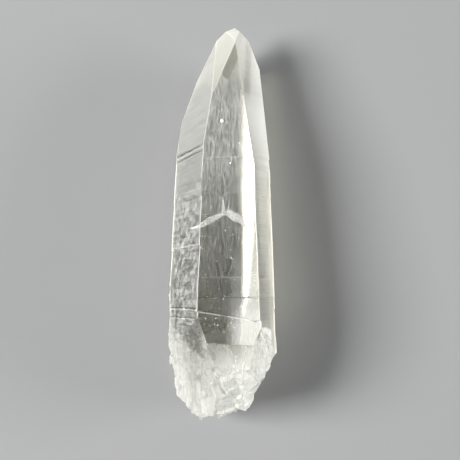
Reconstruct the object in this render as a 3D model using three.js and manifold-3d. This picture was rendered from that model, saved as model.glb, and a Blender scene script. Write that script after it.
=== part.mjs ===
import * as THREE from 'three';
import { mergeVertices } from 'three/addons/utils/BufferGeometryUtils.js';
import Module from 'manifold-3d';

// A Lemurian seed quartz point, one natural piece. Millimetres, +Z up.
// It lies on one prism face, the plane z = 0, with its tip toward +Y.
// A face is given by its azimuth round the growth axis, 0 toward +X and 90 toward +Z,
// by its lean toward the tip, both in degrees, and by its reach from the centre point,
// which lies on the growth axis at AXIS_HEIGHT. Stations are places along Y from there.
const AXIS_HEIGHT = 9;
const BLANK_SIZE = 120;

const restFace = { azimuth: -90, lean: 0, reach: AXIS_HEIGHT };
const topFace = { azimuth: 90, lean: 4.3, reach: 8.25 };
const upperLeftFace = { azimuth: 149.3, lean: 3.2, reach: 7.4 };
const lowerLeftFace = { azimuth: 210, lean: 0, reach: 13.75 };
const upperRightFace = { azimuth: 30.4, lean: 4.1, reach: 10.95 };
const lowerRightFace = { azimuth: -29.5, lean: -0.7, reach: 8.05 };
const prismFaces = [restFace, topFace, upperLeftFace, lowerLeftFace, upperRightFace, lowerRightFace];

// Above the shoulder each prism face bends to a steeper one, and the tip closes
// with a few small rhombohedral faces at close to 38 degrees from the prism.
const shoulderFaces = [
  { azimuth: 89.5, lean: 8, reach: 9.05 },
  { azimuth: 148.8, lean: 10.7, reach: 9.3 },
  { azimuth: 209.5, lean: 32.3, reach: 25 },
  { azimuth: 29, lean: 11.3, reach: 12.2 },
  { azimuth: -30, lean: 25.3, reach: 22.75 },
];
const tipFaces = [
  { azimuth: 113, lean: 16.2, reach: 13 },
  { azimuth: 84, lean: 36.7, reach: 26.8 },
  { azimuth: 203.6, lean: 46.8, reach: 30.05 },
  { azimuth: 11, lean: 46.4, reach: 33.6 },
  { azimuth: -90, lean: 40, reach: 27.7 },
];

// The base is where the point broke from its matrix. Flat breaks come first: two that take
// off the upper left corner, then the left side, the top, the two left corners of the end
// and the underside of the end.
const leftBreak = { azimuth: 190, lean: -0.7, reach: 13.45 };
const breakPlanes = [
  { azimuth: 141.7, lean: -14.1, reach: 13.5 },
  { azimuth: 165, lean: -12, reach: 16.7 },
  leftBreak,
  { azimuth: 92, lean: -30, reach: 23.5 },
  { azimuth: 180, lean: -57, reach: 37.7 },
  { azimuth: 176, lean: -29, reach: 28.2 },
  { azimuth: -95, lean: -50, reach: 35 },
];

// Curved shell breaks, each an ellipsoid pushed into the surface: the place of its
// centre, its radii along X, Y and Z, and its turn about Y and then Z in degrees.
const shellBreaks = [
  { centre: [14.9, -31.5, 23.4], radii: [9.4, 16, 9.4], tilt: 0, spin: 3 },
  { centre: [2.5, -45, 23.6], radii: [9.5, 13, 12.6], tilt: 8, spin: -8 },
  { centre: [-7.8, -37, 17.5], radii: [7.5, 10, 8], tilt: 0, spin: 16 },
  { centre: [-14.4, -33.5, 8.5], radii: [5.2, 9, 6], tilt: 0, spin: 20 },
  { centre: [10.4, -38, 5.5], radii: [5.2, 8, 6.5], tilt: 10, spin: -28 },
  { centre: [0.5, -46.4, 6.2], radii: [7, 8.4, 5.4], tilt: 0, spin: 8 },
  { centre: [-9.5, -43.5, 2.5], radii: [6, 4.4, 4], tilt: 0, spin: -32 },
];

// Growth ledges run across the faces. Each is a small drop on its base side that fades
// out again over its run, and its skew turns it from square to the axis, in degrees.
const growthLedges = [
  { faces: [upperLeftFace], station: 16.2, drop: 0.14, run: 5, skew: 0 },
  { faces: [upperLeftFace], station: 14.9, drop: 0.12, run: 6, skew: 0 },
  { faces: [upperLeftFace, upperRightFace], station: 5.2, drop: 0.1, run: 7, skew: 0 },
  { faces: [upperLeftFace, lowerLeftFace], station: -5.3, drop: 0.14, run: 8, skew: 0 },
  { faces: [lowerRightFace], station: 8.4, drop: 0.12, run: 9, skew: 0 },
  { faces: [topFace], station: 13.2, drop: 0.08, run: 8, skew: 0 },
  { faces: [topFace], station: -11.9, drop: 0.1, run: 4, skew: 0 },
  { faces: [topFace, upperRightFace], station: -15.9, drop: 0.1, run: 3, skew: 0 },
  { faces: [lowerRightFace], station: -18.2, drop: 0.3, run: 14, skew: 0 },
  { faces: [upperLeftFace], station: -18.2, drop: 0.3, run: 14, skew: -5 },
  { faces: [upperLeftFace], station: -20.2, drop: 0.42, run: 14, skew: -5 },
  { faces: [topFace], station: -19.2, drop: 0.4, run: 14, skew: -9 },
  { faces: [topFace], station: -25, drop: 0.8, run: 14, skew: -3 },
];
const LEDGE_WIDTH = 60;
const LEDGE_HEADROOM = 2;
const leftNotch = { station: -30.4, drop: 0.75, run: 30, skew: 0 };

// The slanted right side and the toothed end, as one outline seen from above, level with
// the upper edge of the break, and how the break leans below that edge, in degrees.
const endOutline = [
  [-12, -47.5], [-3.8, -41.2], [-2.9, -40.6], [-1.6, -40], [-0.5, -40.5], [0.3, -40.7],
  [1.2, -40], [2.1, -39.9], [2.7, -39.2], [3.2, -39.4], [4, -38.7], [4.3, -39], [5.6, -38.9],
  [6.6, -37.2], [6.4, -35.8], [7.7, -33.9], [9.4, -30.9], [11.3, -27.5], [12.2, -26.4],
  [30, -24], [30, -60], [-12, -60],
];
const BREAK_EDGE_HEIGHT = 12;
const END_LEAN = 5;
const SIDE_LEAN = -3;

const wasm = await Module();
wasm.setup();

function toSolid(geometry) {
  const bare = geometry.clone();
  bare.deleteAttribute('normal');
  bare.deleteAttribute('uv');
  const merged = mergeVertices(bare.index ? bare.toNonIndexed() : bare, 1e-5);
  const mesh = new wasm.Mesh({
    numProp: 3,
    vertProperties: new Float32Array(merged.attributes.position.array),
    triVerts: new Uint32Array(merged.index.array),
  });
  return new wasm.Manifold(mesh);
}

function toGeometry(solid) {
  const mesh = solid.getMesh();
  const geometry = new THREE.BufferGeometry();
  geometry.setAttribute('position', new THREE.BufferAttribute(mesh.vertProperties, 3));
  geometry.setIndex(new THREE.BufferAttribute(mesh.triVerts, 1));
  return geometry;
}

// The frame of a face at a station: X across the face, Y along it toward the tip,
// Z out of it.
function faceFrame({ azimuth, lean, reach }, station) {
  const turn = THREE.MathUtils.degToRad(azimuth);
  const rise = THREE.MathUtils.degToRad(lean);
  const outward = new THREE.Vector3(
    Math.cos(turn) * Math.cos(rise), Math.sin(rise), Math.sin(turn) * Math.cos(rise),
  );
  const along = new THREE.Vector3(
    -Math.cos(turn) * Math.sin(rise), Math.cos(rise), -Math.sin(turn) * Math.sin(rise),
  );
  const across = new THREE.Vector3().crossVectors(along, outward);
  const offset = (station - outward.y * reach) / along.y;
  const origin = outward.clone().multiplyScalar(reach).addScaledVector(along, offset);
  origin.z += AXIS_HEIGHT;
  return new THREE.Matrix4().makeBasis(across, along, outward).setPosition(origin);
}

// Everything outside a face, as one large block standing on it.
function outsideOf(face) {
  const block = new THREE.BoxGeometry(2 * BLANK_SIZE, 2 * BLANK_SIZE, BLANK_SIZE);
  block.translate(0, 0, BLANK_SIZE / 2);
  block.applyMatrix4(faceFrame(face, 0));
  return toSolid(block);
}

// The sliver that a growth ledge takes off: deepest at the ledge, nothing at its run's end.
function ledgeSliver(face, { station, drop, run, skew }) {
  const section = new THREE.Shape();
  section.moveTo(0, LEDGE_HEADROOM);
  section.lineTo(-run, LEDGE_HEADROOM);
  section.lineTo(-run, 0);
  section.lineTo(0, -drop);
  const sliver = new THREE.ExtrudeGeometry(section, { depth: LEDGE_WIDTH, bevelEnabled: false });
  sliver.translate(0, 0, -LEDGE_WIDTH / 2);
  const acrossFace = new THREE.Matrix4().makeBasis(
    new THREE.Vector3(0, 1, 0), new THREE.Vector3(0, 0, 1), new THREE.Vector3(1, 0, 0),
  );
  sliver.applyMatrix4(acrossFace);
  sliver.rotateZ(THREE.MathUtils.degToRad(skew));
  sliver.applyMatrix4(faceFrame(face, station));
  return toSolid(sliver);
}

function shellBreak({ centre, radii, spin, tilt }) {
  const shell = new THREE.SphereGeometry(1, 24, 14);
  shell.scale(...radii);
  shell.rotateY(THREE.MathUtils.degToRad(tilt));
  shell.rotateZ(THREE.MathUtils.degToRad(spin));
  shell.translate(...centre);
  return toSolid(shell);
}

// Everything past the outline of the broken end.
function pastTheEnd() {
  const outline = new THREE.Shape(endOutline.map(([x, y]) => new THREE.Vector2(x, y)));
  const past = new THREE.ExtrudeGeometry(outline, { depth: BLANK_SIZE, bevelEnabled: false });
  past.translate(0, 0, -BLANK_SIZE / 2);
  past.rotateX(THREE.MathUtils.degToRad(END_LEAN));
  past.rotateY(THREE.MathUtils.degToRad(SIDE_LEAN));
  past.translate(0, 0, BREAK_EDGE_HEIGHT);
  return toSolid(past);
}

const blank = new THREE.BoxGeometry(BLANK_SIZE, BLANK_SIZE, BLANK_SIZE);
let crystal = toSolid(blank);
for (const face of [...prismFaces, ...shoulderFaces, ...tipFaces, ...breakPlanes]) {
  crystal = crystal.subtract(outsideOf(face));
}
for (const ledge of growthLedges) {
  for (const face of ledge.faces) {
    crystal = crystal.subtract(ledgeSliver(face, ledge));
  }
}
for (const piece of shellBreaks) {
  crystal = crystal.subtract(shellBreak(piece));
}
crystal = crystal.subtract(ledgeSliver(leftBreak, leftNotch));
crystal = crystal.subtract(pastTheEnd());

// The origin is under the middle of the crystal's box.
const geometry = toGeometry(crystal);
geometry.computeBoundingBox();
const middle = geometry.boundingBox.getCenter(new THREE.Vector3());
geometry.translate(-middle.x, -middle.y, 0);

const clearQuartz = new THREE.MeshStandardMaterial({
  color: 0xe9ebe6, roughness: 0.06, metalness: 0, transparent: true, opacity: 0.4,
});
const mesh = new THREE.Mesh(geometry, clearQuartz);
mesh.name = 'crystal';

const part = new THREE.Group();
part.add(mesh);
export default part;
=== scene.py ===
import math
import random

import bmesh
import bpy
from mathutils import Matrix, Vector, noise


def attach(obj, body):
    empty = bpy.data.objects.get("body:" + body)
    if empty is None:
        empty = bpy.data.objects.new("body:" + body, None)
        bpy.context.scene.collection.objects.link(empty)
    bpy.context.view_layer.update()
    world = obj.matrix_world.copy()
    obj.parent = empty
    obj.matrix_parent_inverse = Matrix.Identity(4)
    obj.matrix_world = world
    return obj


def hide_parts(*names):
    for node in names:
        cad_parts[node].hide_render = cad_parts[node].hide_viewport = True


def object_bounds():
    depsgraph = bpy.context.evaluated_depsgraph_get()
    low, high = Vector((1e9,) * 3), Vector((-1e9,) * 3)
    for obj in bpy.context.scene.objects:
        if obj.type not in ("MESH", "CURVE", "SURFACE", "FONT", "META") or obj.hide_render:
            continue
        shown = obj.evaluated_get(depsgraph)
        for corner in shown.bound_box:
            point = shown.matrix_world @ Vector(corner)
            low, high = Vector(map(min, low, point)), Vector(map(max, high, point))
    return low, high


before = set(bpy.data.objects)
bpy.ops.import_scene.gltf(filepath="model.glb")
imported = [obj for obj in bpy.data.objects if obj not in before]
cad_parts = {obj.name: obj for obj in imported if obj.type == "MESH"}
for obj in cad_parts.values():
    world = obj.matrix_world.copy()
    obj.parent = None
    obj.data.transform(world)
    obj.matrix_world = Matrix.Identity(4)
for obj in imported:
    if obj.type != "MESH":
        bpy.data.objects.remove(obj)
cad_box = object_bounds()

# ---- Camera ----
# It looks down on the lying crystal, from a little to its right and toward its base, with
# the tip at the top of the frame.
AIM = Vector((0.00096, -0.00137, 0))
CAMERA_DISTANCE = 0.1587
TILT_RIGHT = math.radians(6.4)
TILT_TO_BASE = math.radians(5.65)
LENS_LENGTH = 54
SENSOR_WIDTH = 36
NEAR_LIMIT = 0.005

back = Vector((math.tan(TILT_RIGHT), -math.tan(TILT_TO_BASE), 1)).normalized()
up = (Vector((0, 1, 0)) - back * back.y).normalized()
right = up.cross(back)
lens = bpy.data.cameras.new("camera")
lens.lens = LENS_LENGTH
lens.sensor_width = SENSOR_WIDTH
lens.clip_start = NEAR_LIMIT
camera = bpy.data.objects.new("camera", lens)
camera.matrix_world = Matrix((right, up, back)).transposed().to_4x4()
camera.location = AIM + back * CAMERA_DISTANCE
bpy.context.collection.objects.link(camera)
bpy.context.scene.camera = camera

# ---- The crystal's shape ----
# One piece of clear quartz, grown as a six-sided prism with a blunt tip and broken off its
# matrix at the base. Its faces carry fine growth steps across them, its ridges are worn
# soft, and the broken base is rough all over. It lies on one flat prism face.
MM = 0.001
MERGE = 1e-6
FLAT_ENOUGH = math.radians(0.2)
# The grown faces, each by the way it looks, in degrees: its azimuth round the growth axis,
# 0 toward +X and 90 toward +Z, and its lean toward the tip.
GROWN_FACES = {
    "rest": (-90, 0), "top": (90, 4.3), "top_shoulder": (89.5, 8),
    "sunward": (149.3, 3.2), "sunward_shoulder": (148.8, 10.7),
    "right": (30.4, 4.1), "right_shoulder": (29, 11.3),
    "low_left": (210, 0), "low_left_shoulder": (209.5, 32.3),
    "low_right": (-29.5, -0.7), "low_right_shoulder": (-30, 25.3),
    "tip_bright": (113, 16.2), "tip_point": (84, 36.7), "tip_left": (203.6, 46.8),
    "tip_right": (11, 46.4), "tip_under": (-90, 40),
}
# The widest facet within the first angle of a grown face's direction sets how far out that
# face lies. A facet within the second angle and the depth of it is part of the face.
IN_LINE_ANGLE = math.radians(1)
SAME_FACE_ANGLE = math.radians(6)
SAME_FACE_DEPTH = 1.4 * MM
FINISH_OF_FACE = {
    "rest": "clear", "low_left": "clear", "low_right": "low_right",
    "low_left_shoulder": "tip", "low_right_shoulder": "tip", "tip_under": "tip",
    "top": "top", "top_shoulder": "top",
    "sunward": "sunward", "sunward_shoulder": "sunward",
    "right": "right", "right_shoulder": "right",
    "tip_bright": "tip", "tip_point": "ridge", "tip_left": "tip", "tip_right": "right",
}
FINISHES = [
    "clear", "low_right", "top", "sunward", "right", "edge_facet", "tip", "break", "old_break",
    "ridge",
]
# Toward the base from here the top face is an old break, healed over.
OLD_BREAK_TOP = -26 * MM


def facing(azimuth, lean):
    """The direction that a face looks in."""
    turn, rise = math.radians(azimuth), math.radians(lean)
    return Vector((
        math.cos(turn) * math.cos(rise), math.sin(rise), math.sin(turn) * math.cos(rise),
    ))


shape = bmesh.new()
shape.from_mesh(bpy.data.objects["crystal"].data)
bmesh.ops.remove_doubles(shape, verts=shape.verts, dist=MERGE)
bmesh.ops.dissolve_limit(
    shape, angle_limit=FLAT_ENOUGH, verts=shape.verts, edges=shape.edges,
)
shape.normal_update()

# Each facet belongs to the grown face whose level it lies on, and any other is a break.
BREAK = FINISHES.index("break")
level = {}
for name, (azimuth, lean) in GROWN_FACES.items():
    out = facing(azimuth, lean)
    in_line = [f for f in shape.faces if f.normal.angle(out) < IN_LINE_ANGLE]
    widest = max(in_line, key=lambda f: f.calc_area())
    level[name] = (out, out.dot(widest.calc_center_median()))
for face in shape.faces:
    face.material_index = BREAK
    closest = SAME_FACE_ANGLE
    for name, (out, reach) in level.items():
        angle = face.normal.angle(out)
        depth = abs(out.dot(face.calc_center_median()) - reach)
        if angle < closest and depth < SAME_FACE_DEPTH:
            closest = angle
            face.material_index = FINISHES.index(FINISH_OF_FACE[name])
            if name == "top" and face.calc_center_median().y < OLD_BREAK_TOP:
                face.material_index = FINISHES.index("old_break")


def edge_between(name, next_name):
    """The edge that a face shares with the next one: a point on it, its direction, the way
    over it out of the next face, and the way in from it over the first face."""
    (out, reach), (next_out, next_reach) = level[name], level[next_name]
    over = (out - next_out * out.dot(next_out)).normalized()
    point = next_out * next_reach
    point += over * ((reach - point.dot(out)) / over.dot(out))
    inward = (over - out * over.dot(out)).normalized()
    return point, out.cross(next_out).normalized(), over, inward


def band_along(name, next_name, width, ends, finish):
    """Gives a band of a face, along its edge with the next one, a finish of its own."""
    out, reach = level[name]
    point, _, _, inward = edge_between(name, next_name)

    def in_face(face):
        apart = abs(out.dot(face.calc_center_median()) - reach)
        return face.normal.angle(out) < SAME_FACE_ANGLE and apart < SAME_FACE_DEPTH

    cut = [f for f in shape.faces if f.material_index != BREAK and in_face(f)]
    bmesh.ops.bisect_plane(
        shape, geom=cut + list({e for f in cut for e in f.edges})
        + list({v for f in cut for v in f.verts}),
        dist=MERGE, plane_co=point + inward * width, plane_no=inward,
    )
    for face in shape.faces:
        middle = face.calc_center_median()
        if (
            face.material_index != BREAK and in_face(face)
            and (middle - point).dot(inward) < width and ends[0] < middle.y < ends[1]
        ):
            face.material_index = FINISHES.index(finish)


# A narrow facet runs along the outer edge of the right face. It fades in between its first
# two stations and out between its last two.
EDGE_FACET_WIDTH = 2.0 * MM
EDGE_FACET_DROP = 0.35 * MM
EDGE_FACET_REACH = 0.42 * MM
EDGE_FACET_ENDS = (-26.5 * MM, -23 * MM, 20 * MM, 24 * MM)
band_along(
    "right", "low_right", EDGE_FACET_WIDTH, (EDGE_FACET_ENDS[0], EDGE_FACET_ENDS[3]),
    "edge_facet",
)

# The outermost edges on both sides are worn white and painted whiter still as a highlight along
# them, and the band is wider at the foot of the right one: the face, the next face, the width, and
# where along the stone it runs.
WORN_BAND = 0.5 * MM
WORN_FOOT_BAND = 0.9 * MM
WORN_AND_HIGHLIT_EDGES = [
    ("right", "low_right", WORN_BAND, (-26 * MM, 24 * MM)),
    ("right", "low_right", WORN_FOOT_BAND, (-26.5 * MM, -19.8 * MM)),
    ("sunward", "low_left", WORN_BAND, (-26 * MM, 14 * MM)),
    ("right_shoulder", "low_right_shoulder", WORN_BAND, (22 * MM, 36 * MM)),
    ("tip_right", "low_right_shoulder", WORN_BAND, (26 * MM, 42 * MM)),
]
for name, next_name, width, ends in WORN_AND_HIGHLIT_EDGES:
    band_along(name, next_name, width, ends, "ridge")

# The grown faces are cut across at uneven stations, for fine growth steps.
STEP_SPACING = 0.36 * MM
STEP_VARIATION = (0.7, 1.3)
STEP_START = -27 * MM
GROWTH_SEED = 11
random.seed(GROWTH_SEED)
station = STEP_START
while station < cad_box[1][1]:
    bmesh.ops.bisect_plane(
        shape, geom=shape.verts[:] + shape.edges[:] + shape.faces[:], dist=MERGE,
        plane_co=(0, station, 0), plane_no=(0, 1, 0),
    )
    station += STEP_SPACING * random.uniform(*STEP_VARIATION)


def smooth_rise(value, low, high):
    """0 up to low, 1 from high, and smooth between them."""
    share = min(max((value - low) / (high - low), 0), 1)
    return share * share * (3 - 2 * share)


edge_point, edge_line, over_edge, _ = edge_between("right", "low_right")
for vert in shape.verts:
    from_line = (vert.co - edge_point).cross(edge_line).length
    if from_line < EDGE_FACET_REACH:
        share = smooth_rise(vert.co.y, *EDGE_FACET_ENDS[:2])
        share -= smooth_rise(vert.co.y, *EDGE_FACET_ENDS[2:])
        vert.co -= over_edge * EDGE_FACET_DROP * share

# The ridges between grown faces are worn to a narrow band.
RIDGE_ANGLE = math.radians(7)
RIDGE_WEAR = 0.11 * MM
shape.normal_update()
ridges = [
    e for e in shape.edges
    if len(e.link_faces) == 2 and e.calc_face_angle() > RIDGE_ANGLE
    and e.link_faces[0].material_index != e.link_faces[1].material_index
    and all(f.material_index != BREAK for f in e.link_faces)
]
worn = bmesh.ops.bevel(
    shape, geom=ridges, offset=RIDGE_WEAR, offset_type="OFFSET", affect="EDGES",
    segments=2, profile=0.5, clamp_overlap=False, material=-1,
)
for face in worn["faces"]:
    face.material_index = FINISHES.index("ridge")

# The growth steps rise and fall straight across each face, by these depths in millimetres.
STEP_DEPTH = {
    "clear": 0.005, "low_right": 0.003, "top": 0.004, "sunward": 0.014, "right": 0.014,
    "edge_facet": 0.01, "tip": 0.006, "ridge": 0.01, "old_break": 0.004,
}
# Coarse steps and fine ones: their length, their share of the depth, how far apart two faces
# are in the pattern, and the row of the pattern.
STEP_RUNS = [(1.9 * MM, 1, 7.3, 0.5), (0.55 * MM, 0.6, 3.1, 9.5)]
PRISM_TURN = 60
# What is lower than this lies on the table and stays flat.
ON_TABLE = 0.05 * MM


def growth_step(y, side):
    """How far the growth steps of a side stand out at y, as a share of their depth."""
    return sum(
        share * noise.noise(Vector((side * apart, y / length, row)))
        for length, share, apart, row in STEP_RUNS
    )


for vert in shape.verts:
    if vert.co.z < ON_TABLE or vert.co.y < STEP_START:
        continue
    kinds = {FINISHES[f.material_index] for f in vert.link_faces}
    if "break" in kinds:
        continue
    depth = min(STEP_DEPTH[k] for k in kinds) * MM
    side = round(math.degrees(math.atan2(vert.normal.z, vert.normal.x)) / PRISM_TURN)
    vert.co += vert.normal * depth * growth_step(vert.co.y, side)

# The broken base is cut into a fine grid, and its edges are rounded, most of all on top.
BREAK_GRID = 0.42 * MM
RIM_WEAR = 8
TOP_WEAR = 40
LOOKS_UP = 0.45
low, high = cad_box
for axis in range(3):
    across = Vector((0, 0, 0))
    across[axis] = 1
    cut = low[axis] + BREAK_GRID / 2
    while cut < high[axis]:
        broken = [f for f in shape.faces if f.material_index == BREAK]
        edges = list({e for f in broken for e in f.edges})
        verts = list({v for f in broken for v in f.verts})
        bmesh.ops.bisect_plane(
            shape, geom=verts + edges + broken, dist=MERGE, plane_co=across * cut, plane_no=across,
        )
        cut += BREAK_GRID
shape.normal_update()
inner_verts = [v for v in shape.verts if all(f.material_index == BREAK for f in v.link_faces)]
upper_verts = [v for v in inner_verts if v.normal.z > LOOKS_UP]
for verts, times in ((inner_verts, RIM_WEAR), (upper_verts, TOP_WEAR)):
    for _ in range(times):
        bmesh.ops.smooth_vert(
            shape, verts=verts, factor=0.5, use_axis_x=True, use_axis_y=True, use_axis_z=True,
        )
shape.normal_update()

# Then it is made rough, with tilted chips of two sizes, each size with its slope, and a fine
# grain. It is less rough at the rim, where the break meets a grown face.
CHIPS = [(2.3 * MM, 0.2), (0.95 * MM, 0.16)]
CHIP_SCATTER = 17.3
GRAIN_SIZE = 0.9 * MM
GRAIN_DEPTH = 0.04 * MM
GRAIN_FADE = 0.6
GRAIN_RATIO = 2.1
GRAIN_LAYERS = 4
moves = {}
for vert in shape.verts:
    share = sum(f.material_index == BREAK for f in vert.link_faces) / len(vert.link_faces)
    if share == 0 or vert.co.z < ON_TABLE:
        continue
    chip = 0
    for size, slope in CHIPS:
        place = vert.co / size
        centre = noise.voronoi(place)[1][0]
        tilt = noise.cell_vector(centre * CHIP_SCATTER) * 2 - Vector((1, 1, 1))
        chip += tilt.dot(place - centre) * size * slope
    grain = noise.fractal(vert.co / GRAIN_SIZE, GRAIN_FADE, GRAIN_RATIO, GRAIN_LAYERS)
    moves[vert] = vert.normal * (chip + grain * GRAIN_DEPTH) * share ** 2
for vert, move in moves.items():
    vert.co += move
    vert.co.z = max(vert.co.z, 0)

# Every face is shaded smooth, up to an edge between two finishes or a sharp one.
SHARP = math.radians(32)
SHARP_CHIP = math.radians(13)
for face in shape.faces:
    face.smooth = True
for edge in shape.edges:
    a, b = edge.link_faces
    limit = SHARP_CHIP if a.material_index == BREAK else SHARP
    edge.smooth = a.material_index == b.material_index and edge.calc_face_angle() < limit

quartz_mesh = bpy.data.meshes.new("quartz_point")
shape.to_mesh(quartz_mesh)
shape.free()
quartz = bpy.data.objects.new("quartz_point", quartz_mesh)
bpy.context.collection.objects.link(quartz)
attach(quartz, "root")
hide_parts("crystal")

# ---- The crystal's finishes ----
# Clear quartz with a slight warm-grey tint by depth. Some faces are etched to a satin by growth,
# with lines across them, the break is milky, and a worn ridge is white and fine. Some marks are
# painted light: the pale and dark lines at ledges are a painted highlight and painted shade, a
# notch, a crease and a corner are painted darker as shade, and the outer edges, the very tip and
# part of the top face's satin carry painted light.
# Places and sizes in a finish are in millimetres.
MM_PER_METRE = 1000.0
QUARTZ_IOR = 1.544
QUARTZ_TINT = (0.945, 0.942, 0.918, 1)
QUARTZ_TINT_DENSITY = 5
FROST_WHITE = (0.93, 0.93, 0.9, 1)
TIP_WHITE = (0.91, 0.9, 0.8, 1)
BREAK_WHITE = (0.96, 0.955, 0.89, 1)
CLEAR_TONE = (1, 1, 1, 1)
# The tone that shade darkens the clear quartz toward; in places this is painted shade.
SHADED_TONE = (0.55, 0.55, 0.53, 1)
MILK_DEPTH = 2.0 * MM


class Signal:
    """One socket of a material. Plain arithmetic on it adds Math nodes."""

    def __init__(self, tree, socket=None):
        self.tree = tree
        self.socket = socket

    def node(self, kind, settings=None, values=None, output=0):
        """Adds a node with these settings and these values or links, and gives one output."""
        made = self.tree.nodes.new(kind)
        for name, setting in (settings or {}).items():
            setattr(made, name, setting)
        for name, value in (values or {}).items():
            if isinstance(value, Signal):
                self.tree.links.new(value.socket, made.inputs[name])
            else:
                made.inputs[name].default_value = value
        return Signal(self.tree, None if output is None else made.outputs[output])

    def math(self, operation, first, second=0.0, clamp=False):
        settings = {"operation": operation, "use_clamp": clamp}
        return self.node("ShaderNodeMath", settings, {0: first, 1: second})

    def __add__(self, other):
        return self.math("ADD", self, other)

    def __sub__(self, other):
        return self.math("SUBTRACT", self, other)

    def __rsub__(self, other):
        return self.math("SUBTRACT", other, self)

    def __mul__(self, other):
        return self.math("MULTIPLY", self, other)

    __radd__ = __add__
    __rmul__ = __mul__

    def between(self, low, high):
        """0 below low, 1 above high, and smooth between them."""
        return self.node(
            "ShaderNodeMapRange", {"interpolation_type": "SMOOTHSTEP"},
            {"Value": self, "From Min": low, "From Max": high},
        )

    def clamped(self):
        return self.math("ADD", self, 0.0, clamp=True)


def start_finish(name):
    """A new empty material, and the signal that adds nodes to it."""
    material = bpy.data.materials.new(name)
    material.use_nodes = True
    material.node_tree.nodes.clear()
    return material, Signal(material.node_tree)


def pattern_place(paint, size, stretch, turn, place=(0, 0, 0)):
    """The place in a pattern of this size, drawn out by stretch, turned, and moved by place."""
    where = paint.node("ShaderNodeTexCoord", output="Object")
    scale = [MM_PER_METRE / size / share for share in stretch]
    return paint.node(
        "ShaderNodeMapping", {"vector_type": "POINT"},
        {"Vector": where, "Location": place, "Rotation": turn, "Scale": scale},
    )


def spots(
    paint, size, stretch=(1, 1, 1), turn=(0, 0, 0), detail=3, roughness=0.55, place=(0, 0, 0),
):
    """Soft noise from 0 to 1 whose patches are about this size."""
    where = pattern_place(paint, size, stretch, turn, place)
    return paint.node(
        "ShaderNodeTexNoise", {},
        {"Vector": where, "Scale": 1.0, "Detail": detail, "Roughness": roughness},
    )


def place_along(paint, axis):
    """The place along one axis of the part: 0 across, 1 along, 2 up."""
    where = paint.node("ShaderNodeTexCoord", output="Object")
    along = paint.node("ShaderNodeSeparateXYZ", {}, {"Vector": where}, output=axis)
    return along * MM_PER_METRE


def quartz_surface(
    paint, frost, roughness, height=None, relief=0.0, shade=None, glow=0.3, milk=0.0,
    white=FROST_WHITE, white_roughness=0.7,
):
    """Closes the material: clear quartz with a share of white frost on it.

    height and relief, in millimetres, are its fine relief, and shade darkens what is seen through
    it toward the shaded tone: in some places as painted shade, in others as tone that varies at
    random. glow is the share of the frost's light that comes from inside, and milk is how much of
    the frost goes down into the stone.
    """
    tone = CLEAR_TONE
    if shade is not None:
        tone = paint.node(
            "ShaderNodeMix", {"data_type": "RGBA"},
            {"Factor": shade, "A": CLEAR_TONE, "B": SHADED_TONE}, output="Result",
        )
    normal = {}
    if height is not None:
        normal["Normal"] = paint.node(
            "ShaderNodeBump", {}, {"Height": height, "Distance": relief * MM, "Strength": 1.0},
        )
    clear = paint.node("ShaderNodeBsdfPrincipled", {}, {
        "Base Color": tone, "Roughness": roughness, "IOR": QUARTZ_IOR,
        "Transmission Weight": 1.0, **normal,
    })
    lit = paint.node("ShaderNodeBsdfPrincipled", {}, {
        "Base Color": white, "Roughness": white_roughness, "IOR": QUARTZ_IOR,
        "Subsurface Weight": milk, "Subsurface Scale": MILK_DEPTH,
        "Subsurface Radius": (1, 1, 1), **normal,
    })
    glowing = paint.node("ShaderNodeBsdfTranslucent", {}, {"Color": white, **normal})
    frosted = paint.node("ShaderNodeMixShader", {}, {0: glow, 1: lit, 2: glowing})
    surface = paint.node("ShaderNodeMixShader", {}, {0: frost, 1: clear, 2: frosted})
    tint = paint.node("ShaderNodeVolumeAbsorption", {}, {
        "Color": QUARTZ_TINT, "Density": QUARTZ_TINT_DENSITY,
    })
    paint.node("ShaderNodeOutputMaterial", {}, {"Surface": surface, "Volume": tint}, output=None)


def clear_finish():
    """The resting face and the lower left one: bright, with a little haze toward the base."""
    material, paint = start_finish("quartz_clear_face")
    y = place_along(paint, 1)
    toward_base = 1.0 - y.between(-30.0, -15.0)
    steps = spots(paint, 0.5, stretch=(30, 1, 30))
    patches = spots(paint, 4)
    quartz_surface(
        paint, frost=patches.between(0.6, 0.9) * 0.1 + toward_base * 0.15,
        roughness=patches.between(0.4, 0.8) * 0.08 + toward_base * 0.3 + 0.03,
        height=steps, relief=0.01,
    )
    return material


def low_right_finish():
    """The lower right face: hazy along its upper part and its worn foot."""
    material, paint = start_finish("quartz_low_right_face")
    y = place_along(paint, 1)
    z = place_along(paint, 2)
    toward_base = 1.0 - y.between(-26.0, -14.0)
    upper = (z - y * 0.1).between(3.2, 4.8)
    worn_foot = 1.0 - z.between(0.7, 1.2)
    quartz_surface(
        paint, frost=(upper * 0.24 + toward_base * 0.4 + worn_foot * 0.5).clamped(),
        roughness=(upper * 0.45 + toward_base * 0.3 + worn_foot * 0.4 + 0.03).clamped(),
        height=spots(paint, 0.5, stretch=(30, 1, 30)), relief=0.01, glow=0.5,
    )
    return material


def edge_facet_finish():
    """The narrow facet along the right face: matt, with fine steps."""
    material, paint = start_finish("quartz_edge_facet")
    steps = spots(paint, 0.35, stretch=(40, 1, 40))
    quartz_surface(paint, frost=steps * 0.1, roughness=0.8, height=steps, relief=0.02)
    return material


GROWTH_LINE_EDGE = (0.06, 0.18)
GROWTH_LINE_WANDER = 0.5


def growth_lines(paint, stations):
    """Slightly wandering lines across a face at these stations, 1 on the line."""
    place = place_along(paint, 1) + (spots(paint, 3.0) - 0.5) * GROWTH_LINE_WANDER
    lines = 0.0
    for station in stations:
        away = paint.math("ABSOLUTE", place - station)
        lines = (1.0 - away.between(*GROWTH_LINE_EDGE)) + lines
    return lines


LEDGE_STATION = -20.1
LEDGE_SLANT = math.tan(math.radians(9))


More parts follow.
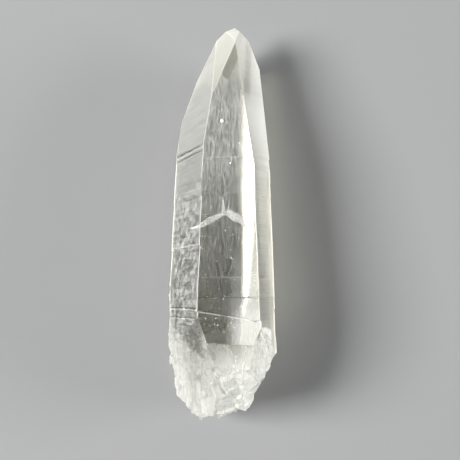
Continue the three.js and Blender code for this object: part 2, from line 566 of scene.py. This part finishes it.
def top_finish():
    """The top face: streaked and dashed along its length, with a satin that grows toward the tip
    and stops at a clear point, and a slanting ledge near the base. The satin is partly painted
    light, and the ledge carries a painted highlight and painted shade."""
    material, paint = start_finish("quartz_top_face")
    x, y = place_along(paint, 0), place_along(paint, 1)
    steps = spots(paint, 0.4, stretch=(30, 1, 30))
    streaks = spots(paint, 0.14, stretch=(1, 22, 80), detail=2, roughness=0.6)
    streak = streaks.between(0.36, 0.64)
    dashes = spots(paint, 0.16, stretch=(1, 8, 60), detail=0, place=(3, 5, 7))
    dashes = dashes.between(0.56, 0.62)
    lines = growth_lines(paint, (-12.8, 12.3))

    # The clear point at the tip end is a wedge between two slanting sides.
    toward_tip = y.between(-20.0, 24.0)
    aslant = paint.math("MAXIMUM", x - 2.5, 0.0) * 2.6
    aslant = aslant + paint.math("MAXIMUM", 1.3 - x, 0.0) * 2.1
    point = (y - aslant + spots(paint, 1.0) * 1.4).between(30.2, 31.2)
    # The satin is partly the face's own and partly painted light, standing for the light that
    # reaches the floor under the thinner tip.
    satin = toward_tip * (1.0 - point * 0.8)

    # The ledge is painted with a pale line on its base side and a dark one on its tip side: a
    # painted highlight on its lit side and painted shade on its shaded side.
    from_ledge = y + x * LEDGE_SLANT - LEDGE_STATION
    ledge_painted_highlight = 1.0 - paint.math("ABSOLUTE", from_ledge + 0.16).between(0.06, 0.16)
    ledge_painted_shade = 1.0 - paint.math("ABSOLUTE", from_ledge - 0.12).between(0.06, 0.18)

    # Below the middle the right side is paler and the left side darker.
    toward_base = 1.0 - y.between(-23.0, -18.5)
    foot = 1.0 - y.between(-13.0, -5.0)
    low_foot = (1.0 - y.between(-19.0, -15.0)) * y.between(-22.0, -20.5)
    outer_foot = (1.0 - y.between(-17.0, -8.0)) * y.between(-23.5, -20.5)
    at_left = 1.0 - x.between(-4.5, 0.5)
    at_right = x.between(1.5, 5.0)

    frost = satin * 0.22 + (streak - 0.5) * (satin * 0.2 + 0.06) + lines * 0.12
    frost = frost + dashes * (1.0 - point) * (satin * 0.08 + 0.11) + ledge_painted_highlight * 0.4
    frost = frost + foot * x.between(2.5, 5.0) * 0.13 + low_foot * x.between(-1.0, 4.0) * 0.06
    frost = frost + toward_base * at_right * 0.35 + outer_foot * x.between(5.0, 6.5) * 0.12
    shade = (1.0 - streak) * 0.35 + toward_base * (1.0 - at_right) * 0.4
    shade = shade + ledge_painted_shade * 0.9 + at_left * (foot * 0.4 + 0.15)
    quartz_surface(
        paint, frost=frost.clamped(), roughness=toward_tip * 0.35 + 0.12, height=steps,
        relief=0.01, shade=shade.clamped(),
    )
    return material


def above_milk(paint):
    """1 above the slanting line on the left where the milky end begins, and 0 below it."""
    slanted = place_along(paint, 1) + place_along(paint, 0) * 0.8
    return (slanted + spots(paint, 1.5) * 2.0).between(-31.8, -29.8)


def sunward_finish():
    """The left face toward the window: satin, with white wisps in its lower half and pairs of pale
    and dark lines across it. The lines at the ledges are a painted highlight and painted shade."""
    material, paint = start_finish("quartz_sunward_face")
    y = place_along(paint, 1)
    steps = spots(paint, 0.3, stretch=(40, 1, 40))
    wisps = spots(paint, 1.4, stretch=(1, 1.1, 1), turn=(0, 0, 0.5), detail=8, roughness=0.78)
    low = 1.0 - y.between(-2.0, 14.0)
    wisp = wisps.between(0.42, 0.64)
    # Most of these lines lie at ledges: the dark ones are painted shade on their shaded side, and
    # the pale ones a painted highlight on their lit side.
    dark = growth_lines(paint, (15.4, 14.1, -19.0, -21.0))
    pale = growth_lines(paint, (14.8, -5.9, -19.4, -21.3))
    frost = y.between(-12.0, 26.0) * 0.28 + low * wisp * 0.38 + 0.03
    frost = frost + (steps - 0.5) * 0.4 + pale * 0.2 - dark * 0.2
    frost = frost + (1.0 - above_milk(paint)) * 0.2
    shade = (1.0 - steps.between(0.4, 0.6)) * 0.3 + dark * 0.7
    quartz_surface(
        paint, frost=frost.clamped(), roughness=steps * 0.1 + 0.4, height=steps, relief=0.03,
        shade=shade.clamped(),
    )
    return material


def corner_flake(paint):
    """Two signals: 1 on the white flake at the base end of the right face, and 1 in the notch
    beside it, which is painted dark as shade."""
    x, y = place_along(paint, 0), place_along(paint, 1)
    below = 1.0 - (y + (x - 10.0) * 0.35 + spots(paint, 0.8) * 1.2).between(-22.7, -21.9)
    flake = x.between(9.1, 9.4) * (1.0 - x.between(11.1, 11.4)) * below * y.between(-29.5, -28.0)
    # Where painted shade darkens the notch.
    notch = (1.0 - paint.math("ABSOLUTE", x - 8.75).between(0.15, 0.45)) * below
    return flake, notch * y.between(-26.0, -25.0)


def right_finish():
    """The right face: satin with small marks, paler down its slope, and clearer at the tip, where
    it is also painted darker as shade, with one clear, darker band there."""
    material, paint = start_finish("quartz_right_face")
    x, y, z = place_along(paint, 0), place_along(paint, 1), place_along(paint, 2)
    flake, notch = corner_flake(paint)
    steps = spots(paint, 0.3, stretch=(40, 1, 40))
    marks = spots(paint, 0.6, stretch=(1, 0.6, 1), detail=5, roughness=0.65)
    at_tip = y.between(22.0, 29.0)
    band = x.between(5.2, 5.8) * (1.0 - x.between(6.3, 6.9)) * y.between(24.0, 29.0)
    down_slope = ((17.0 - z) * 0.05).clamped()
    frost = marks - 0.5 + y.between(2.0, 20.0) * 0.36 + 0.1 + flake * 0.85 - notch * 0.3
    frost = frost + down_slope - at_tip * 0.2 - band * 0.25
    # shade: tone along the steps, painted shade in the notch and at the tip end, and a darker
    # band.
    shade = (1.0 - steps.between(0.4, 0.6)) * 0.35 + notch * 0.8 + at_tip * 0.4 + band * 0.4
    quartz_surface(
        paint, frost=frost.clamped(), roughness=y.between(-22.0, 5.0) * 0.14 + steps * 0.1 + 0.34,
        height=steps, relief=0.03, shade=shade.clamped(),
    )
    return material


def tip_finish():
    """The small faces at the tip: an even pale satin."""
    material, paint = start_finish("quartz_tip_face")
    grain = spots(paint, 0.3)
    quartz_surface(
        paint, frost=grain * 0.2 + 0.3, roughness=grain * 0.1 + 0.55, height=grain, relief=0.02,
        white=TIP_WHITE,
    )
    return material


CRACK_WIDTH = 0.045
CRACK_BEND = (0.9, 0.9, 0.9)
CRACK_BEND_SCALE = 1.3
# How far the cracks run off the length of the stone, in radians.
CRACK_TURN = 0.45


def crack_net(paint, size, stretch, turn):
    """A net of bent cracks round cells of about this size, and a grey tone for each cell."""
    where = pattern_place(paint, size, stretch, turn)
    bend = paint.node(
        "ShaderNodeTexNoise", {}, {"Vector": where, "Scale": CRACK_BEND_SCALE, "Detail": 2.0},
        output="Color",
    )
    where = paint.node(
        "ShaderNodeVectorMath", {"operation": "MULTIPLY_ADD"},
        {0: bend, 1: CRACK_BEND, 2: where},
    )
    edge = paint.node(
        "ShaderNodeTexVoronoi", {"feature": "DISTANCE_TO_EDGE"}, {"Vector": where, "Scale": 1.0},
    )
    tone = paint.node(
        "ShaderNodeTexVoronoi", {"feature": "F1"}, {"Vector": where, "Scale": 1.0},
        output="Color",
    )
    return 1.0 - edge.between(0.0, CRACK_WIDTH), tone * 1.0


def break_finish(
    name="quartz_break", least=0.06, relief=0.2, cracked=1.0, grainy=0.3, milk=0.35, sides=1.0,
):
    """The break: milky toward its end and its sides, cracked, grained and flecked.

    least is the least share of frost, cracked and grainy are how strongly those marks show,
    and sides is how strongly the marks near the two sides do. relief and milk are those of
    quartz_surface.
    """
    material, paint = start_finish(name)
    x, y = place_along(paint, 0), place_along(paint, 1)
    clouds = spots(paint, 2.6, stretch=(0.7, 1.6, 0.7), turn=(0, 0, CRACK_TURN), detail=5)
    grain = spots(paint, 0.5, detail=6)
    flecks = spots(paint, 0.35, detail=1).between(0.62, 0.68)
    cracks, tone = crack_net(paint, 2.6, stretch=(0.6, 1.5, 1), turn=(0, 0.3, CRACK_TURN))
    fine, fine_tone = crack_net(paint, 1.0, stretch=(0.6, 1.4, 1), turn=(0, 0.2, -0.2))
    marks = clouds.between(0.3, 0.7) * 0.16 + grain * grainy + tone * 0.1
    marks = marks + cracks * 0.45 * cracked + fine * 0.25 * cracked + flecks * 0.4

    toward_end = 1.0 - y.between(-37.0, -25.0)
    at_left = 1.0 - x.between(-9.5, -5.5)
    at_right = x.between(4.0, 8.0)
    middle = x.between(-0.8, 1.5)
    milky = toward_end * (middle * 0.9 + 0.4) + (at_left * 0.35 + at_right * 0.7) * sides
    milky = milky.clamped()

    # A clear upper left corner, painted a little darker as shade, long ribs down the left side,
    # and a crease on the right painted dark as shade.
    corner = above_milk(paint) * (1.0 - x.between(-3.5, -2.0))
    ribs, _ = crack_net(paint, 2.3, stretch=(0.6, 6, 1), turn=(0, 0, CRACK_TURN))
    ribs = ribs * (1.0 - x.between(-4.0, -1.0)) * sides
    crease = paint.math("ABSOLUTE", y - x * 0.81 + clouds + 40.5)
    crease = (1.0 - crease.between(0.1, 0.4)) * x.between(6.5, 7.5) * sides
    flake, notch = corner_flake(paint)

    frost = marks * (milky * 0.5 + 0.5) + milky * 0.35 + least
    frost = (frost + flake * 0.8 - notch * 0.5 - corner * 0.22).clamped()
    # shade: the cells' own grey tone, and painted shade in the notch, the clear corner and the
    # crease.
    shade = fine_tone * 0.4 + notch * 0.6 + corner * 0.1 + crease
    quartz_surface(
        paint, frost=frost - crease * 0.5 - ribs * 0.15, roughness=grain * 0.3 + 0.35,
        height=grain + cracks * cracked + tone + ribs * 0.3, relief=relief,
        shade=shade.clamped(), milk=milk, white=BREAK_WHITE, white_roughness=0.3,
    )
    return material


def old_break_finish():
    """The old break on top, healed over: clearer and finer than the other."""
    return break_finish(
        "quartz_old_break", least=-0.2, relief=0.1, cracked=0.9, grainy=1.1, milk=0.2,
        sides=0.3,
    )


def ridge_finish():
    """Worn ridges: white from wear, and whitest along the two outer edges and at the very tip,
    where the extra white is a painted highlight.
    """
    material, paint = start_finish("quartz_worn_ridge_and_highlight")
    grain = spots(paint, 0.4)
    x, y = place_along(paint, 0), place_along(paint, 1)
    outer_left_highlight = 1.0 - x.between(-9.0, -7.0)
    outer_right_highlight = (x + paint.math("MAXIMUM", y - 24.0, 0.0) * 0.2).between(8.5, 9.3)
    at_tip = y.between(37.0, 39.0)
    at_foot = 1.0 - y.between(-24.5, -20.5)
    # The outer edges and the tip get extra white as a painted highlight, less at the foot of the
    # right edge.
    frost = outer_left_highlight * 0.3 + outer_right_highlight * 0.5 + at_tip * 0.35 + grain * 0.15 + 0.5
    frost = frost - at_foot * outer_right_highlight * 0.5
    quartz_surface(
        paint, frost=frost.clamped(), roughness=0.5, glow=(1.0 - outer_right_highlight) * 0.3,
        white=BREAK_WHITE,
    )
    return material


finish_makers = {
    "clear": clear_finish, "low_right": low_right_finish, "top": top_finish,
    "sunward": sunward_finish, "right": right_finish, "edge_facet": edge_facet_finish,
    "tip": tip_finish, "break": break_finish, "old_break": old_break_finish,
    "ridge": ridge_finish,
}
for finish in FINISHES:
    quartz_mesh.materials.append(finish_makers[finish]())

# ---- The wing-shaped fracture ----
# A thin curved crack inside the crystal, just under the top face, spread to both sides like a
# bird's wings, with a short spike toward the tip. The light that its air film mirrors is painted
# on it as a white veil: a painted reflection.
WING_POINTS = 32
WING_ROWS = 4
WING_THICKNESS = 0.06 * MM
FILM_GLOW = 0.15
# The crack's upper and lower edges, in millimetres, from the left wing's tip to the right's.
WING_UPPER = [
    (-6.0, -2.2, 12.9), (-3.4, -1.78, 17.1), (-1.8, -0.45, 16.95), (-0.24, 0.07, 16.85),
    (1.52, 1.1, 16.75), (3.34, 0.99, 16.75), (5.34, -0.42, 16.95), (6.5, -2.7, 17.2),
]
WING_LOWER = [
    (-5.9, -2.35, 12.9), (-3.3, -2.6, 16.8), (-1.3, -1.7, 16.5), (0.4, -0.7, 16.3),
    (1.9, 0.0, 16.3), (3.5, -1.2, 16.4), (4.7, -1.6, 16.5), (6.3, -2.85, 17.0),
]
SPIKE_FOOT = (1.55, 0.7, 16.86)
SPIKE_POINT = (1.32, 3.95, 16.76)
SPIKE_RADIUS = (0.42, 0.09)
SPIKE_FLATNESS = 0.5
# The crack ripples by this much up and down, and by a share of it lengthwise. The waves are
# how many there are along and across it, and the row is a place in the noise.
RIPPLE = 0.12
RIPPLE_LENGTHWISE = 0.6
RIPPLE_WAVES = (9, 3)
RIPPLE_ROW = 2.7


def curve_point(points, share):
    """A point on the smooth curve through the points, at a share of the way along."""
    place = share * (len(points) - 1)
    i = min(int(place), len(points) - 2)
    t = place - i
    a = Vector(points[max(i - 1, 0)])
    b = Vector(points[i])
    c = Vector(points[i + 1])
    d = Vector(points[min(i + 2, len(points) - 1)])
    return 0.5 * (2 * b + (c - a) * t + (2 * a - 5 * b + 4 * c - d) * t ** 2
                  + (3 * b - a - 3 * c + d) * t ** 3)


wing_shape = bmesh.new()
bmesh.ops.create_grid(wing_shape, x_segments=WING_POINTS, y_segments=WING_ROWS, size=0.5)
for vert in wing_shape.verts:
    share, across = vert.co.x + 0.5, vert.co.y + 0.5
    waves = Vector((share * RIPPLE_WAVES[0], across * RIPPLE_WAVES[1], RIPPLE_ROW))
    ripple = noise.noise(waves) * RIPPLE
    edge = curve_point(WING_LOWER, share).lerp(curve_point(WING_UPPER, share), across)
    vert.co = (edge + Vector((0, RIPPLE_LENGTHWISE * ripple, ripple))) * MM
bmesh.ops.solidify(wing_shape, geom=wing_shape.faces[:], thickness=WING_THICKNESS)
spike_way = Vector(SPIKE_POINT) - Vector(SPIKE_FOOT)
spike_place = Matrix.LocRotScale(
    (Vector(SPIKE_FOOT) + spike_way / 2) * MM, spike_way.to_track_quat("Z", "Y"),
    (1, SPIKE_FLATNESS, 1),
)
bmesh.ops.create_cone(
    wing_shape, cap_ends=True, segments=8, radius1=SPIKE_RADIUS[0] * MM,
    radius2=SPIKE_RADIUS[1] * MM, depth=spike_way.length * MM, matrix=spike_place,
)
bmesh.ops.recalc_face_normals(wing_shape, faces=wing_shape.faces[:])
wing_mesh = bpy.data.meshes.new("wing_fracture")
wing_shape.to_mesh(wing_mesh)
wing_shape.free()
wing_mesh.shade_smooth()
wing = bpy.data.objects.new("wing_fracture", wing_mesh)
bpy.context.collection.objects.link(wing)
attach(wing, "root")


def veil_finish(name, thin, thick, size):
    """A white film, a little translucent and clear in places: thin and thick are how much of
    the light it stops at its thinnest and its thickest, and size is its clouds' size."""
    material, paint = start_finish(name)
    clouds = spots(paint, size, detail=5)
    lit = paint.node("ShaderNodeBsdfPrincipled", {}, {"Base Color": FROST_WHITE, "Roughness": 0.4})
    glowing = paint.node("ShaderNodeBsdfTranslucent", {}, {"Color": FROST_WHITE})
    film = paint.node("ShaderNodeMixShader", {}, {0: FILM_GLOW, 1: lit, 2: glowing})
    open_air = paint.node("ShaderNodeBsdfTransparent")
    share = clouds.between(0.3, 0.7) * (thick - thin) + thin
    surface = paint.node("ShaderNodeMixShader", {}, {0: share, 1: open_air, 2: film})
    paint.node("ShaderNodeOutputMaterial", {}, {"Surface": surface}, output=None)
    return material


# The crack's white film is a painted reflection of the light its air film mirrors.
wing_mesh.materials.append(veil_finish("crack_painted_reflection", thin=0.7, thick=1.0, size=0.6))

# ---- Pale inclusions ----
# Specks of white mineral and tiny gas pockets in the clear stone, most of them just under
# the upper faces. A few are large enough to show as white dots.
# Places and radii are in millimetres.
LARGE_SPECKS = [
    ((0.96, 20.29, 15.3), 0.42), ((4.74, 15.32, 15.9), 0.2), ((2.89, 11.01, 16.3), 0.22),
    ((0.7, 3.61, 16.8), 0.18), ((3.17, -8.85, 17.7), 0.22),
]
SMALL_SPECKS = 170
SMALL_SPECK_RADIUS = (0.07, 0.14)
SMALL_SPECK_ACROSS = (-7, 10)
SMALL_SPECK_ALONG = (-25, 24)
SPECK_DEPTH = (0.08, 0.5)
SPECK_SHAPE = Vector((1, 1.3, 0.5))
SPECK_SEED = 23
# An upper face is one whose direction rises at least this much.
UPPER_FACE_RISE = 0.05
# There are no small specks both left of this corner and nearer to the base than it, because
# the break goes deep there.
LEFT_BREAK_CORNER = (-2 * MM, -18 * MM)
random.seed(SPECK_SEED)
specks = bmesh.new()
places = [(Vector(place), radius) for place, radius in LARGE_SPECKS]
while len(places) < len(LARGE_SPECKS) + SMALL_SPECKS:
    x = random.uniform(*SMALL_SPECK_ACROSS) * MM
    y = random.uniform(*SMALL_SPECK_ALONG) * MM
    radius = random.uniform(*SMALL_SPECK_RADIUS)
    # Straight up to the lowest of the upper faces, then a little way down into the stone.
    roof = min(
        (reach - out.x * x - out.y * y) / out.z
        for out, reach in level.values() if out.z > UPPER_FACE_RISE
    )
    place = Vector((x, y, roof - random.uniform(*SPECK_DEPTH) * MM))
    inside = all(out.dot(place) < reach - radius * MM for out, reach in level.values())
    at_break = x < LEFT_BREAK_CORNER[0] and y < LEFT_BREAK_CORNER[1]
    if inside and not at_break:
        places.append((place / MM, radius))
for place, radius in places:
    flat = Matrix.LocRotScale(place * MM, None, SPECK_SHAPE * radius * MM)
    bmesh.ops.create_icosphere(specks, subdivisions=1, radius=1, matrix=flat)
speck_mesh = bpy.data.meshes.new("inclusions")
specks.to_mesh(speck_mesh)
specks.free()
speck_mesh.shade_smooth()
inclusions = bpy.data.objects.new("inclusions", speck_mesh)
bpy.context.collection.objects.link(inclusions)
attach(inclusions, "root")
speck_mesh.materials.append(veil_finish("inclusion_white", thin=0.85, thick=1.0, size=0.2))

# ---- Floor ----
# A plain pale table top that the crystal lies on.
FLOOR_HALF_WIDTH = 1.5
FLOOR_GAP = 0.1 * MM
FLOOR_COLOUR = (0.27, 0.27, 0.27, 1)
table = bmesh.new()
bmesh.ops.create_grid(table, x_segments=1, y_segments=1, size=FLOOR_HALF_WIDTH)
bmesh.ops.translate(table, verts=table.verts, vec=(0, 0, -FLOOR_GAP))
floor_mesh = bpy.data.meshes.new("floor")
table.to_mesh(floor_mesh)
table.free()
floor = bpy.data.objects.new("floor", floor_mesh)
bpy.context.collection.objects.link(floor)
floor_material, floor_paint = start_finish("pale_floor")
floor_shader = floor_paint.node("ShaderNodeBsdfPrincipled", {}, {
    "Base Color": FLOOR_COLOUR, "Roughness": 0.9,
})
floor_paint.node("ShaderNodeOutputMaterial", {}, {"Surface": floor_shader}, output=None)
floor_mesh.materials.append(floor_material)

# ---- Light ----
# A soft window light from the left, a low weak one from the right, and a faint even light
# all round.
LAMP_DISTANCE = 1.6
ROOM_TINT = (0.9, 0.95, 1, 1)
ROOM_STRENGTH = 0.24


def soft_light(name, azimuth, elevation, size, power):
    """A rectangular lamp that looks at the crystal from this azimuth and elevation."""
    data = bpy.data.lights.new(name, "AREA")
    data.shape = "RECTANGLE"
    data.size = size[0]
    data.size_y = size[1]
    data.energy = power
    lamp = bpy.data.objects.new(name, data)
    turn, rise = math.radians(azimuth), math.radians(elevation)
    toward = Vector((
        math.cos(turn) * math.cos(rise), math.sin(turn) * math.cos(rise), math.sin(rise),
    ))
    lamp.location = toward * LAMP_DISTANCE
    lamp.rotation_euler = toward.to_track_quat("Z", "Y").to_euler()
    bpy.context.collection.objects.link(lamp)


soft_light("window", azimuth=180, elevation=38, size=(0.7, 0.7), power=52)
soft_light("fill", azimuth=0, elevation=13, size=(0.8, 0.4), power=28)
world = bpy.data.worlds.new("soft_room")
bpy.context.scene.world = world
world.use_nodes = True
room = world.node_tree.nodes["Background"]
room.inputs["Color"].default_value = ROOM_TINT
room.inputs["Strength"].default_value = ROOM_STRENGTH
bpy.context.scene.view_settings.view_transform = "Standard"
